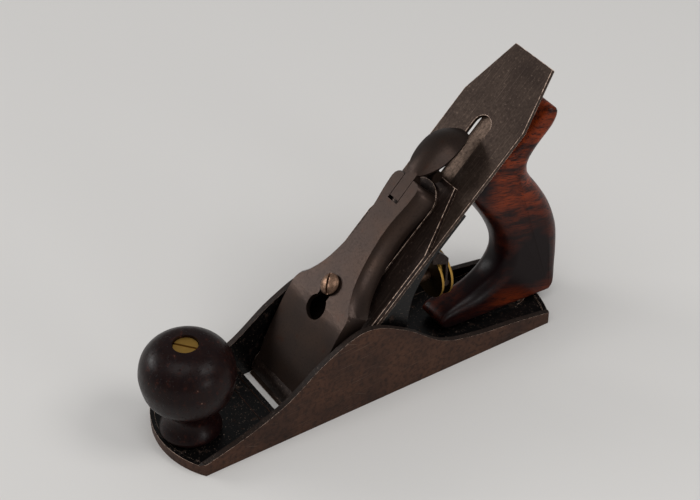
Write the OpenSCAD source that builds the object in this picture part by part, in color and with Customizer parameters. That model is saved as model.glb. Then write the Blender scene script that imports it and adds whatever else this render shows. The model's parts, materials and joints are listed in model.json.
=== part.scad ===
// Smoothing plane with a cast body, a screwed frog and an adjustable iron.
// Millimetres, +Z up. Origin: middle of the sole's length and width, on the sole.
// X runs from the toe (-) to the heel (+), Y across the sole.
// Pieces on the frog are drawn in the bed frame: X runs up the frog face, Z stands off it.

/* [Sole and cheeks] */
// Length of the sole on its centre line
sole_l = 209; // [190:1:230]
// Thickness of the bed
bed_t = 4.5; // [4:0.1:6]
// Bow of the toe's rounded end
toe_bow = 8.6; // [5:0.1:12]
// Bow of the heel's rounded end
heel_bow = 6.2; // [4:0.1:10]
// Thickness of each cheek
cheek_t = 3; // [2.5:0.1:4]
// Height of the cheeks at their hump
hump_h = 45.4; // [42:0.1:50]
// Place of the hump behind the middle of the sole
hump_x = -9.6; // [-14:0.1:-5]
// Height of a cheek where it meets the toe or the heel
cheek_end_h = 6.8; // [6:0.1:9]
// Width of the raised rim round the toe and heel
rim_w = 2.2; // [1.5:0.1:3]
// Rise of that rim over the bed
rim_rise = 0.9; // [0.5:0.1:1.5]
// Gap between the iron and each cheek
side_gap = 0.8; // [0.7:0.1:1.5]
// Opening of the mouth in front of the iron, at the sole
mouth_gap = 3.2; // [2:0.1:5]
// Top of the seat that the frog is screwed to
seat_h = 9; // [8:0.1:11]

/* [Cutting iron] */
// Width of the iron
iron_w = 44.4; // [40:0.1:52]
// Thickness of the iron
iron_t = 2.1; // [1.8:0.1:3]
// Length of the iron
iron_l = 200.6; // [190:0.1:210]
// Width of the iron's top edge
iron_top_w = 27; // [20:0.5:36]
// Length of the clipped corners at the top
clip_l = 30.5; // [20:0.5:36]
// Width of the iron's long slot
slot_w = 11.1; // [10.5:0.1:12]
// Bare length above the slot
slot_margin = 34.4; // [30:0.1:40]
// Angle of the ground bevel
bevel_angle = 28; // [24:1:35]
// Height of the cutting edge over the sole, drawn back
edge_lift = 0.3; // [0.2:0.1:0.6]

/* [Cap iron] */
// Thickness of the cap iron
cap_t = 2.4; // [2:0.1:3]
// Distance from the cutting edge to the cap iron's edge
cap_setback = 2.3; // [0.8:0.1:3]
// Length of the cap iron up the bed
cap_l = 130; // [124:0.5:134]
// Rise of the hump over the flat of the cap iron
cap_hump = 1.2; // [0.8:0.1:1.4]
// Width of the cap iron's top edge
cap_top_w = 24; // [20:0.5:30]
// Length of its tapered top
cap_taper_l = 33; // [25:0.5:36]

/* [Frog] */
// Distance up the bed to the frog's top edge
frog_top = 123; // [121:0.5:126]
// Thickness of the frog's face
frog_t = 5; // [4.5:0.1:6]
// Thickness of the frog's side webs
web_t = 4; // [3:0.1:5]
// Thickness of the frog's foot
foot_t = 4; // [3.5:0.1:6]
// Distance between the two frog screws
frog_screw_gap = 24; // [20:0.5:26]
// Radius of a frog screw's shank
frog_screw_r = 2.6; // [2.2:0.1:3]

/* [Depth adjuster] */
// Radius of the brass nut's rims
nut_r = 12.4; // [11:0.1:13.2]
// Width of the nut along its stud
nut_w = 6.6; // [6.4:0.1:8]
// Width of the groove between its rims
groove_w = 3.9; // [3.8:0.1:4.1]
// Radius at the bottom of the groove
groove_r = 7.8; // [7:0.1:8.5]
// Place of the middle of the nut
nut_x = 45; // [44:0.1:46]
// Height of the stud over the sole
stud_h = 39; // [38:0.1:40]
// Radius of the stud
stud_r = 3; // [2.5:0.1:3.5]
// Radius of the pin that the forked lever turns on
fork_pin_r = 2; // [1.5:0.1:2.5]

/* [Lateral lever] */
// Width of the lever's strip
lateral_w = 9.4; // [8:0.1:10]
// Thickness of the strip
lateral_t = 1.8; // [1.5:0.1:2.2]
// Length of the lever from its rivet to its thumb tab
lateral_l = 58; // [50:0.5:62]
// Distance from its rivet to the disc in the iron's slot
disc_arm = 14; // [13:0.1:15]

/* [Lever cap] */
// Height of the lever cap's flat top over the frog face
lever_top = 18.9; // [18:0.1:20]
// Thickness of its top plate
lever_t = 2.6; // [2.2:0.1:3]
// Half width of its flat top at the neck
neck_half = 7.4; // [7:0.1:8]
// Height of its skirts' bottom edge over the frog face
skirt_low = 8.4; // [8:0.1:9]
// Angle that it sits askew on its screw
cap_skew = 1.5; // [0:0.1:1.6]
// Wall of its side skirts
skirt_t = 2.6; // [2:0.1:3]
// Distance up the bed to the lever cap's top end
lever_end = 121.5; // [120:0.1:123]
// Place of the lever cap screw up the bed
cap_screw_s = 60.7; // [60:0.1:62]
// Radius of the lever cap screw's shank
cap_screw_r = 3.05; // [2.8:0.05:3.2]
// Radius of the lever cap screw's head
screw_head_r = 5.2; // [4.8:0.1:5.4]
// Distance the lever cap slides to clear the screw's head
keyhole_run = 12.4; // [12:0.1:13]
// Radius of the cam's pin
cam_pin_r = 1.4; // [1.2:0.1:1.5]
// Half width of the cam lever's thumb plate
thumb_half = 10.1; // [9:0.1:11]
// Length of the thumb plate past the lever cap's end
thumb_l = 31.5; // [28:0.5:34]
// Thickness of the thumb plate
thumb_t = 2.6; // [2:0.1:3.5]

/* [Knob and tote] */
// Place of the knob behind the toe's tip
knob_setback = 15.6; // [15:0.1:20]
// Largest radius of the knob
knob_r = 21.9; // [18:0.1:23]
// Radius of the knob's foot
knob_foot_r = 14.4; // [12:0.1:15]
// Height of the knob
knob_h = 52; // [44:0.5:56]
// Radius of the brass knob nut
knob_nut_r = 5.7; // [5:0.1:6]
// Thickness of the tote at its heel
tote_w = 23; // [20:0.5:24]
// Thickness of the tote at its toe
tote_toe_w = 17; // [15:0.5:20]
// Radius of the bolts through the knob and the tote
bolt_r = 2.8; // [2.4:0.1:3]

/* [Clearances] */
// Running clearance round a pin
run_gap = 0.05; // [0.03:0.01:0.1]
// Clearance between curved or moving faces
free_gap = 0.3; // [0.2:0.05:0.5]

/* [Hidden] */
$fn = 64;

// Cut past a face, so that no skin is left
over = 1;
// Angle of the bed that the iron lies on
bed_angle = 45;
diag = sqrt(2);

// Body and sole
body_w = iron_w + 2 * (side_gap + cheek_t);
half_w = body_w / 2;
inner_half = half_w - cheek_t;
toe_r = (half_w * half_w + toe_bow * toe_bow) / (2 * toe_bow);
heel_r = (half_w * half_w + heel_bow * heel_bow) / (2 * heel_bow);
toe_x = -sole_l / 2;
heel_x = sole_l / 2;
toe_corner = toe_x + toe_bow;
heel_corner = heel_x - heel_bow;
// Heights of the cheek line at even steps, as shares of the rise from its ends to the hump
cheek_front = [0, 0.16, 0.40, 0.79, 1];
cheek_rear = [0.75, 0.32, 0.16, 0.09, 0];
cheek_steps = 6;
cheek_run = 2.2;

// The frog face meets the sole at bed_x
bed_x = -42.4;
cap_top = iron_t + cap_t;
tip_s = edge_lift * diag - iron_t;
iron_top = tip_s + iron_l;
slot_top = iron_top - slot_margin;
slot_low = cap_screw_s - 4;
slot_hole_r = 8.6;
ramp_gap = 0.1;
mouth_half = inner_half;
mouth_front = bed_x - (iron_t - edge_lift) * diag - mouth_gap;
mouth_slope = 3;
mouth_lip_w = 2;
mouth_lip_h = 1.2;
mouth_step_x = mouth_front - mouth_slope - 8;
mouth_step_h = 0.5;
seat_front = bed_x + seat_h;
seat_rear = 17;

// Frog
frog_half = (iron_w - 1.2) / 2;
frog_foot_front = seat_front + 1;
frog_edge = 2;
frog_edge_t = 2.4;
frog_web_half = frog_half - frog_edge;
frog_slot_half = 9.6;
frog_slot_low = 67.2;
frog_slot_high = 98.5;
frog_screw_x = -8;
frog_screw_head_r = 4.8;
frog_screw_head_h = 3;
washer_r = 6;
washer_t = 1.2;
screw_depth = 5.5;
frog_wall_t = 4.5;
screw_boss_r = 6.2;
screw_boss_l = 6;
frog_rear = 15.8;

// Lateral lever
rivet_s = 116.5;
disc_s = rivet_s - disc_arm;
disc_r = slot_w / 2 - 0.25;
rivet_r = 2.2;
lateral_pocket = lateral_t + 0.5;
lateral_low = disc_s - 5.6;
tab_h = 8;
tab_half = 9;

// Depth adjuster
pivot_x = 31;
pivot_z = 58;
pivot_s = (pivot_x - bed_x + pivot_z) / diag;
pivot_depth = (pivot_x - bed_x - pivot_z) / diag;
hub_r = 4.3;
hub_half = 7;
ear_t = 4;
fork_t = 3;
fork_arm = 1.4;
fork_tip_r = groove_w / 2 - 0.15;
fork_in = groove_r + free_gap;
fork_out = fork_in + fork_t;
nib_l = 2.8;
nib_w = 8;
fork_elbow_h = stud_h + nut_r + 2.6;
stud_boss_r = 6.5;
stud_boss_l = 5;
stud_front = frog_rear - frog_wall_t - 1;
stud_rear = nut_x + nut_w / 2 - 0.5;

// Cap iron and its screw
cap_low = tip_s + cap_setback;
cap_flat = cap_low + 22;
cap_bolt_s = 77;
cap_bolt_r = 3.8;
cap_bolt_head_r = 7.4;
cap_bolt_head_t = 2.6;
cap_slot_w = 9;
cap_slot_l = 14;

// Lever cap and its cam
lever_half = iron_w / 2 - 1;
lever_under = lever_top - lever_t;
wing_s = 51;
wing_low = 36;
wing_full = 46;
skirt_spread = 3.6;
neck_slot = cap_screw_r + 0.45;
keyhole_r = screw_head_r + 0.9;
key_s = cap_screw_s - keyhole_run;
nose_gap = 0.3;
nose_s = 8.8;
cam_slot_half = 3.4;
cam_slot_front = lever_end - 13.1;
cam_undercut = 0.85;
cam_slot_gap = 1.6;
cam_shank_half = cam_slot_half - 0.3;
cam_shank_front = 5.4;
cam_shank_drop = 3.7;
cam_pin_half = 10.4;
cam_s = cam_slot_front + cam_slot_gap + cam_shank_front;
cam_h = 11;
cam_half = 6.9;
thumb_start = 2.5;
cam_heel_r = 2.9;
cam_heel_x = 7.3;
cam_heel_h = 10;
cam_heel_half = 6.4;
spring_t = 1;
spring_low = cap_top + free_gap;
spring_top = spring_low + spring_t;
spring_start = 74;
spring_end = 125.5;
spring_half = 11.3;
cam_r = cam_h - spring_top - 0.25;
cam_flat = 1;
spring_pin_r = 1.2;
spring_pin_s = spring_start + 6;
spring_boss_r = 3;

// Knob
knob_x = toe_x + knob_setback;
knob_top = bed_t + knob_h;
boss_r = 5.2;
boss_h = 3.5;
nut_recess_r = knob_nut_r + 0.25;
knob_nut_t = 7;
knob_nut_cap = 2;
nut_sink = 1.3;
bolt_bottom = 1.8;
slot_cut = 1.1;
slot_depth = 1.4;
end_gap = 0.3;

// Tote, on a bolt that leans forwards
pad_rise = 2;
tote_seat = bed_t + pad_rise;
tote_pad_front = 54;
tote_pad_rear = heel_x - 14;
tote_bolt_x = 95;
tote_lean = 12.5;
tote_nut_r = 5.5;
tote_nut_l = 10;
tote_nut_cap = 3;
tote_nut_top = 92;
tote_nut_recess_r = tote_nut_r + 0.3;
tote_boss_r = 5.5;
tote_boss_h = 4;

// Helper functions

// Point on a smooth curve through p1 and p2, at t from 0 to 1
function spline(p0, p1, p2, p3, t) =
    0.5 * (2 * p1 + (p2 - p0) * t + (2 * p0 - 5 * p1 + 4 * p2 - p3) * t * t
    + (3 * p1 - p0 - 3 * p2 + p3) * t * t * t);

// Open smooth curve through a list of points, n steps between each two
function smooth(pts, n) = [
    for (i = [0 : len(pts) - 2], j = [0 : n - 1])
        let (last = len(pts) - 1)
        spline(pts[max(i - 1, 0)], pts[i], pts[i + 1], pts[min(i + 2, last)], j / n),
    pts[len(pts) - 1]
];

// Normal of a flat ring of points
function ring_normal(ring) =
    let (n = len(ring))
    [for (p = ring) 1] * [for (i = [0 : n - 1]) cross(ring[i] - ring[0], ring[(i + 1) % n] - ring[0])];

// Whether corner k of the outline that ids picks from the ring can be cut off as one triangle
function is_ear(ring, ids, k, up) =
    let (n = len(ids), a = ring[ids[(k + n - 1) % n]], b = ring[ids[k]], c = ring[ids[(k + 1) % n]])
    cross(b - a, c - a) * up > 0
        && len([for (j = [2 : n - 2]) let (p = ring[ids[(k + j) % n]])
            if (cross(b - a, p - a) * up >= 0 && cross(c - b, p - b) * up >= 0
                && cross(a - c, p - c) * up >= 0) j]) == 0;

function first_ear(ring, ids, k, up) =
    k == len(ids) - 1 || is_ear(ring, ids, k, up) ? k : first_ear(ring, ids, k + 1, up);

// Triangles that fill a flat outline, hollows in its edge left open
function filled(ring, ids, up) =
    len(ids) < 3 ? [] :
    let (n = len(ids), k = first_ear(ring, ids, 0, up))
    concat([[ids[(k + n - 1) % n], ids[k], ids[(k + 1) % n]]],
        filled(ring, [for (j = [0 : n - 1]) if (j != k) ids[j]], up));

// A closed body through rings of points, with flat ends
module skin(rings) {
    n = len(rings[0]);
    m = len(rings);
    ids = [for (i = [0 : n - 1]) i];
    last = rings[m - 1];
    faces = [
        for (t = filled(rings[0], ids, ring_normal(rings[0]))) [t[2], t[1], t[0]],
        for (t = filled(last, ids, ring_normal(last))) [for (i = t) (m - 1) * n + i],
        for (j = [0 : m - 2], i = [0 : n - 1])
            each [
                [j * n + i, j * n + (i + 1) % n, (j + 1) * n + (i + 1) % n],
                [j * n + i, (j + 1) * n + (i + 1) % n, (j + 1) * n + i]
            ]
    ];
    polyhedron([for (ring = rings) each ring], faces, convexity = 8);
}

// Puts its children in the bed frame
module on_bed() {
    translate([bed_x, 0, 0]) rotate([0, -bed_angle, 0]) children();
}

// Extrudes a side outline, given as x and z, over a width about the centre line
module side_extrude(width) {
    rotate([90, 0, 0]) translate([0, 0, -width / 2]) linear_extrude(width) children();
}

// Body casting

// Plan of the sole, its round ends drawn in by inset and its sides let out by reach
module sole_outline(inset, reach) {
    half = half_w + reach;
    front = toe_corner + 2 * inset;
    rear = heel_corner - 2 * inset;
    translate([front + over / 2, -half]) square([rear - front - over, 2 * half]);
    intersection() {
        translate([toe_x - over, -half]) square([front - toe_x + 2 * over, 2 * half]);
        translate([toe_x + toe_r, 0]) circle(r = toe_r - inset, $fn = 180);
    }
    intersection() {
        translate([rear - over, -half]) square([heel_x - rear + 2 * over, 2 * half]);
        translate([heel_x - heel_r, 0]) circle(r = heel_r - inset, $fn = 180);
    }
}

function cheek_points() =
    let (rise = hump_h - cheek_end_h,
        start = toe_corner + over / 2,
        end = heel_corner - over / 2,
        front_step = (hump_x - start) / (len(cheek_front) - 1),
        rear_step = (end - hump_x) / len(cheek_rear))
    concat(
        [for (i = [0 : len(cheek_front) - 1])
            [start + i * front_step, cheek_end_h + rise * cheek_front[i]]],
        [for (i = [0 : len(cheek_rear) - 1])
            [hump_x + (i + 1) * rear_step, cheek_end_h + rise * cheek_rear[i]]]);

// Side outline of a cheek, running out into the rim at both ends
module cheek_outline() {
    polygon(concat(
        [[heel_corner + cheek_run, -over], [toe_corner - cheek_run, -over],
            [toe_corner - cheek_run, bed_t + rim_rise / 2], [toe_corner - over / 2, cheek_end_h]],
        smooth(cheek_points(), cheek_steps),
        [[heel_corner + over / 2, cheek_end_h], [heel_corner + cheek_run, bed_t + rim_rise / 2]]));
}

module cheeks() {
    for (y = [half_w + over, -inner_half])
        translate([0, y, 0]) rotate([90, 0, 0]) linear_extrude(cheek_t + over) cheek_outline();
}

// Bed and the raised rim at its ends, before the sole's outline trims them
module bed_slab() {
    reach = body_w + 2 * over;
    translate([toe_x - over, -reach / 2, -over]) cube([sole_l + 2 * over, reach, bed_t + over]);
    difference() {
        translate([toe_x - over, -reach / 2, 0]) cube([sole_l + 2 * over, reach, bed_t + rim_rise]);
        translate([0, 0, bed_t - over / 2])
            linear_extrude(rim_rise + 2 * over) sole_outline(rim_w, 2 * over);
    }
}

module mouth_cut() {
    side_extrude(2 * mouth_half) polygon([
        [mouth_front, -over],
        [mouth_front, 0],
        [mouth_front - mouth_slope, bed_t + mouth_lip_h + over],
        [bed_x + ramp_gap + seat_h + over, seat_h + over],
        [bed_x + ramp_gap, 0],
        [bed_x + ramp_gap, -over]
    ]);
}

module tote_pad() {
    hull() {
        translate([tote_pad_rear, 0, 0]) cylinder(r = tote_w / 2 - 1, h = tote_seat, $fn = 32);
        translate([tote_pad_front, 0, 0]) cylinder(r = tote_toe_w / 2 - 2.5, h = tote_seat, $fn = 32);
    }
}

module tote_axis() {
    translate([tote_bolt_x, 0, tote_seat]) rotate([0, -tote_lean, 0]) children();
}

module body_casting() {
    color("#4a4038") difference() {
        intersection() {
            linear_extrude(hump_h + over) sole_outline(0, 0);
            union() {
                bed_slab();
                cheeks();
                side_extrude(2 * inner_half + over) polygon([
                    [mouth_step_x, bed_t - over], [mouth_step_x, bed_t + mouth_step_h],
                    [mouth_front - mouth_slope + over, bed_t + mouth_step_h],
                    [mouth_front - mouth_slope + over, bed_t - over]
                ]);
                side_extrude(2 * inner_half + over) polygon([
                    [mouth_front - mouth_slope - mouth_lip_w, bed_t - over],
                    [mouth_front - mouth_slope - mouth_lip_w, bed_t + mouth_lip_h],
                    [mouth_front - mouth_slope + over, bed_t + mouth_lip_h],
                    [mouth_front - mouth_slope + over, bed_t - over]
                ]);
                side_extrude(2 * inner_half + over) polygon([
                    [bed_x, 0], [seat_front, seat_h], [seat_rear, seat_h], [seat_rear + 2, 0]
                ]);
                translate([knob_x, 0, 0]) cylinder(r = boss_r, h = bed_t + boss_h);
                tote_pad();
                intersection() {
                    tote_axis() translate([0, 0, -over]) cylinder(r = tote_boss_r, h = tote_boss_h + over);
                    translate([0, -half_w, bed_t]) cube([heel_x, body_w, body_w]);
                }
            }
        }
        mouth_cut();
        translate([knob_x, 0, bolt_bottom])
            cylinder(r = bolt_r + run_gap, h = bed_t + boss_h);
        for (y = [-1, 1])
            translate([frog_screw_x, y * frog_screw_gap / 2, seat_h - screw_depth])
                cylinder(r = frog_screw_r + run_gap, h = screw_depth + over);
        tote_axis() translate([0, 0, -(tote_seat - bolt_bottom)])
            cylinder(r = bolt_r + run_gap, h = tote_seat + tote_boss_h);
    }
}

// Frog and its screws

// Side of a web, its top sunk into the face plate by sink
module frog_side_outline(sink) {
    back = smooth([[pivot_x - 1, pivot_z + 8], [pivot_x - 7.2, pivot_z - 2], [frog_rear + 3.2, stud_h + 7],
        [frog_rear + 0.9, stud_h - 6], [frog_rear, seat_h + 11], [frog_rear, seat_h]], 6);
    top_s = frog_top - sink;
    front = [bed_x + (top_s + sink) / diag, (top_s - sink) / diag];
    under = (frog_t - sink) / diag;
    polygon(concat(
        [[seat_front + 2 * sink / diag, seat_h], front, [front[0] + under, front[1] - under]], back));
}

module frog_plate() {
    inner = frog_web_half - web_t / 2;
    on_bed() {
        translate([0, -frog_half, -frog_edge_t]) cube([frog_top, 2 * frog_half, frog_edge_t]);
        translate([0, -inner, -frog_t]) cube([frog_top - frog_edge, 2 * inner, frog_t - over / 2]);
    }
}

module frog() {
    color("#26231f") difference() {
        union() {
            intersection() {
                frog_plate();
                translate([seat_front - over, -half_w, seat_h]) cube([body_w * 3, body_w, hump_h * 3]);
            }
            for (y = [frog_web_half - web_t / 2, -frog_web_half + web_t / 2])
                translate([0, y, 0]) side_extrude(web_t) frog_side_outline(over);
            intersection() {
                side_extrude(2 * frog_web_half - web_t) frog_side_outline(over);
                union() {
                    translate([frog_foot_front, -frog_half, seat_h])
                        cube([frog_rear - frog_foot_front, 2 * frog_half, foot_t]);
                    translate([frog_rear - frog_wall_t, -frog_half, seat_h])
                        cube([frog_wall_t, 2 * frog_half, stud_h + stud_boss_r - seat_h]);
                }
            }
            translate([frog_rear - frog_wall_t, 0, stud_h]) rotate([0, 90, 0])
                cylinder(r = stud_boss_r, h = frog_wall_t + stud_boss_l);
            for (y = [hub_half + free_gap, -hub_half - free_gap - ear_t])
                on_bed() translate([pivot_s, y, -pivot_depth]) {
                    rotate([-90, 0, 0]) cylinder(r = hub_r, h = ear_t);
                    translate([-hub_r, 0, 0]) cube([2 * hub_r, ear_t, pivot_depth - frog_t + 0.5]);
                }
            on_bed() translate([cap_screw_s, 0, -frog_t - screw_boss_l])
                cylinder(r = screw_boss_r, h = screw_boss_l + over);
        }
        on_bed() {
            translate([frog_slot_low, -frog_slot_half, -frog_t - over])
                cube([frog_slot_high - frog_slot_low, 2 * frog_slot_half, frog_t + 2 * over]);
            translate([lateral_low - 3, -frog_slot_half, -lateral_pocket])
                cube([frog_top - lateral_low + 3 + over, 2 * frog_slot_half, lateral_pocket + over]);
            translate([rivet_s, 0, -frog_t - over]) cylinder(r = rivet_r + run_gap, h = frog_t);
            translate([cap_screw_s, 0, -frog_t - screw_boss_l - over])
                cylinder(r = cap_screw_r + run_gap, h = frog_t + screw_boss_l + 2 * over);
        }
        translate([pivot_x, 0, pivot_z]) rotate([90, 0, 0])
            cylinder(r = fork_pin_r + run_gap, h = body_w, center = true);
        translate([stud_front, 0, stud_h]) rotate([0, 90, 0])
            cylinder(r = stud_r + run_gap, h = stud_rear);
        for (y = [-1, 1])
            translate([frog_screw_x, y * frog_screw_gap / 2, 0]) {
                cylinder(r = frog_screw_r + 2 * free_gap, h = hump_h);
                translate([0, 0, seat_h + foot_t]) cylinder(r = washer_r + 2 * free_gap, h = hump_h);
            }
    }
}

module frog_screws() {
    head = seat_h + foot_t + washer_t;
    color("#5b4a3c")
        for (y = [-1, 1])
            translate([frog_screw_x, y * frog_screw_gap / 2, 0]) difference() {
                union() {
                    translate([0, 0, seat_h - screw_depth + 0.5])
                        cylinder(r = frog_screw_r, h = head - seat_h + screw_depth);
                    translate([0, 0, head]) cylinder(r = frog_screw_head_r, h = frog_screw_head_h);
                }
                translate([-frog_screw_head_r - over, -slot_cut / 2, head + frog_screw_head_h - slot_depth])
                    cube([2 * (frog_screw_head_r + over), slot_cut, slot_depth + over]);
            }
}

module frog_washers() {
    color("#6b5a48")
        for (y = [-1, 1])
            translate([frog_screw_x, y * frog_screw_gap / 2, seat_h + foot_t]) difference() {
                cylinder(r = washer_r, h = washer_t);
                translate([0, 0, -over]) cylinder(r = frog_screw_r + free_gap, h = washer_t + 2 * over);
            }
}

// Depth adjuster

module adjusting_stud() {
    color("#5b4a3c") translate([stud_front, 0, stud_h]) rotate([0, 90, 0])
        cylinder(r = stud_r, h = stud_rear - stud_front);
}

module adjusting_nut() {
    color("#b58a3c") translate([nut_x, 0, stud_h]) rotate([0, 90, 0]) difference() {
        cylinder(r = nut_r, h = nut_w, center = true);
        difference() {
            cylinder(r = nut_r + over, h = groove_w, center = true);
            cylinder(r = groove_r, h = groove_w + over, center = true);
        }
        cylinder(r = stud_r + run_gap, h = nut_w + 2 * over, center = true);
    }
}

module fork_side_outline() {
    polygon([
        [nut_x - fork_arm / 2, stud_h], [nut_x + fork_arm / 2, stud_h],
        [nut_x + fork_arm / 2, fork_elbow_h], [nut_x - 2, fork_elbow_h + 3],
        [pivot_x + 9, pivot_z + 1.5], [pivot_x + 5.4, pivot_z],
        [pivot_x + 5.4, pivot_z - 4], [nut_x - fork_arm / 2, fork_elbow_h - 3.4]
    ]);
}

module forked_lever() {
    color("#2c2825") difference() {
        union() {
            translate([pivot_x, 0, pivot_z]) rotate([90, 0, 0])
                cylinder(r = hub_r, h = 2 * hub_half, center = true);
            for (y = [(fork_in + fork_out) / 2, -(fork_in + fork_out) / 2])
                translate([0, y, 0]) {
                    side_extrude(fork_t) fork_side_outline();
                    translate([nut_x, 0, stud_h]) rotate([90, 0, 0])
                        cylinder(r = fork_tip_r, h = fork_t, center = true);
                }
            side_extrude(2 * fork_out) polygon([
                [pivot_x + 5.4, pivot_z], [pivot_x + 5.4, pivot_z - 4],
                [pivot_x + 9, pivot_z - 2.6], [pivot_x + 9, pivot_z + 1.5]
            ]);
            side_extrude(2 * hub_half) polygon([
                [pivot_x, pivot_z + 2], [pivot_x, pivot_z - 3.6],
                [pivot_x + 7, pivot_z - 3.2], [pivot_x + 7, pivot_z + 1]
            ]);
            on_bed() translate([pivot_s - nib_l / 2, -nib_w / 2, -pivot_depth])
                cube([nib_l, nib_w, pivot_depth + cap_top - 0.3]);
        }
        translate([pivot_x, 0, pivot_z]) rotate([90, 0, 0])
            cylinder(r = fork_pin_r + run_gap, h = body_w, center = true);
    }
}

module fork_pin() {
    color("#5b4a3c") translate([pivot_x, 0, pivot_z]) rotate([90, 0, 0])
        cylinder(r = fork_pin_r, h = 2 * (hub_half + free_gap + ear_t), center = true);
}

// Lateral lever

module lateral_lever() {
    tab_s = rivet_s + lateral_l;
    color("#5e554b") on_bed() difference() {
        union() {
            translate([lateral_low, -lateral_w / 2, -lateral_t - free_gap])
                cube([tab_s - lateral_low, lateral_w, lateral_t]);
            translate([tab_s - lateral_t, -tab_half, -free_gap - tab_h])
                cube([lateral_t, 2 * tab_half, tab_h]);
        }
        translate([rivet_s, 0, -frog_t]) cylinder(r = rivet_r + run_gap, h = frog_t);
        translate([disc_s, 0, -frog_t]) cylinder(r = rivet_r + run_gap, h = frog_t);
    }
}

module lateral_disc() {
    color("#6a6056") on_bed() translate([disc_s, 0, -free_gap]) {
        cylinder(r = disc_r, h = free_gap + iron_t - 0.3);
        translate([0, 0, -lateral_t]) cylinder(r = rivet_r, h = lateral_t);
    }
}

module lateral_rivet() {
    color("#6a6056") on_bed() translate([rivet_s, 0, -frog_t])
        cylinder(r = rivet_r, h = frog_t - free_gap);
}

// Cutting iron and cap iron

module slot_2d(low, high, width) {
    translate([low, -width / 2]) square([high - low, width]);
    translate([low, 0]) circle(d = width);
    translate([high, 0]) circle(d = width);
}

module iron_outline() {
    difference() {
        polygon([
            [tip_s, -iron_w / 2], [iron_top - clip_l, -iron_w / 2], [iron_top, -iron_top_w / 2],
            [iron_top, iron_top_w / 2], [iron_top - clip_l, iron_w / 2], [tip_s, iron_w / 2]
        ]);
        slot_2d(slot_low, slot_top - slot_w / 2, slot_w);
        translate([slot_low, 0]) circle(r = slot_hole_r);
    }
}

module cutting_iron() {
    color("#574d44") on_bed() difference() {
        linear_extrude(iron_t) iron_outline();
        translate([tip_s, 0, iron_t]) rotate([0, bevel_angle, 0])
            translate([-iron_t * 5, -iron_w, -iron_t * 5]) cube([iron_t * 20, 2 * iron_w, iron_t * 5]);
    }
}

module cap_side_outline() {
    edge_t = 0.9;
    upper = smooth([[cap_low + 0.4, iron_t + edge_t], [cap_low + 4.5, cap_top + 0.6 * cap_hump],
        [cap_low + 9, cap_top + cap_hump], [cap_low + 15, cap_top + 0.6 * cap_hump],
        [cap_flat, cap_top]], 6);
    lower = smooth([[cap_flat, iron_t], [cap_low + 15, iron_t + 0.6 * cap_hump],
        [cap_low + 9, iron_t + cap_hump], [cap_low + 4.5, iron_t + 0.45 * cap_hump],
        [cap_low, iron_t]], 6);
    polygon(concat(upper, [[cap_l, cap_top], [cap_l, iron_t]], lower));
}

module cap_plan_outline() {
    taper = cap_l - cap_taper_l;
    difference() {
        polygon([
            [cap_low - over, -iron_w / 2], [taper, -iron_w / 2], [cap_l, -cap_top_w / 2],
            [cap_l, cap_top_w / 2], [taper, iron_w / 2], [cap_low - over, iron_w / 2]
        ]);
        slot_2d(cap_screw_s - cap_slot_l / 2 + cap_slot_w / 2,
            cap_screw_s + cap_slot_l / 2 - cap_slot_w / 2, cap_slot_w);
        translate([pivot_s, 0]) square([nib_l + 0.8, nib_w + 0.8], center = true);
        translate([cap_bolt_s, 0]) circle(r = cap_bolt_r + run_gap);
    }
}

module cap_iron() {
    color("#4b3f37") on_bed() intersection() {
        side_extrude(iron_w) cap_side_outline();
        linear_extrude(cap_top + cap_hump + over) cap_plan_outline();
    }
}

module cap_iron_screw() {
    color("#6a6056") on_bed() translate([cap_bolt_s, 0, 0]) difference() {
        union() {
            cylinder(r = cap_bolt_r, h = cap_top);
            translate([0, 0, -cap_bolt_head_t]) cylinder(r = cap_bolt_head_r, h = cap_bolt_head_t);
        }
        translate([-cap_bolt_head_r - over, -slot_cut / 2, -cap_bolt_head_t - over])
            cube([2 * (cap_bolt_head_r + over), slot_cut, slot_depth + over]);
    }
}

// Lever cap, its spring and its cam

// Puts its children in the bed frame, turned askew about the lever cap screw
module on_cap() {
    on_bed() translate([cap_screw_s, 0, 0]) rotate([0, 0, cap_skew])
        translate([-cap_screw_s, 0, 0]) children();
}

// Half width of the flat top at each distance up the bed
lever_plan = smooth([[wing_s, lever_half], [54.5, 20.2], [57.8, 17.3], [61.5, 14.9], [66, 12.6],
    [73, 10.3], [82, neck_half + 1.1], [91, neck_half + 0.1], [100, neck_half],
    [lever_end - 11.5, neck_half + 1.3], [lever_end - 4, neck_half + 1.8], [lever_end - 2, neck_half + 1.3],
    [lever_end - 0.8, neck_half + 0.4], [lever_end, neck_half - 0.8]], 3);

// Height of the top over the frog face, falling towards the nose
lever_crown = smooth([[nose_s, lever_top - 11.9], [12.8, lever_top - 10.4], [17.6, lever_top - 8.3],
    [22, lever_top - 6.8], [26.5, lever_top - 5.4], [31, lever_top - 4.2], [35.5, lever_top - 3.1],
    [wing_s - 11, lever_top - 1.9], [wing_s - 6, lever_top - 0.8], [wing_s, lever_top]], 3);

// Underside of the top, resting just over the cap iron's hump at the nose
lever_belly = smooth([[nose_s, cap_top + cap_hump + nose_gap],
    [13, cap_top + cap_hump + nose_gap + 0.3], [18, lever_top - 11.2], [26, lever_top - 8.6],
    [wing_low, lever_under - 3.4], [wing_s - 2, lever_under]], 3);

// Outside of a skirt: share of its spread and drop below the top
skirt_round = [[0, 0], [0.32, 0.13], [0.6, 0.31], [0.84, 0.53], [0.97, 0.76], [1, 1]];

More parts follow.
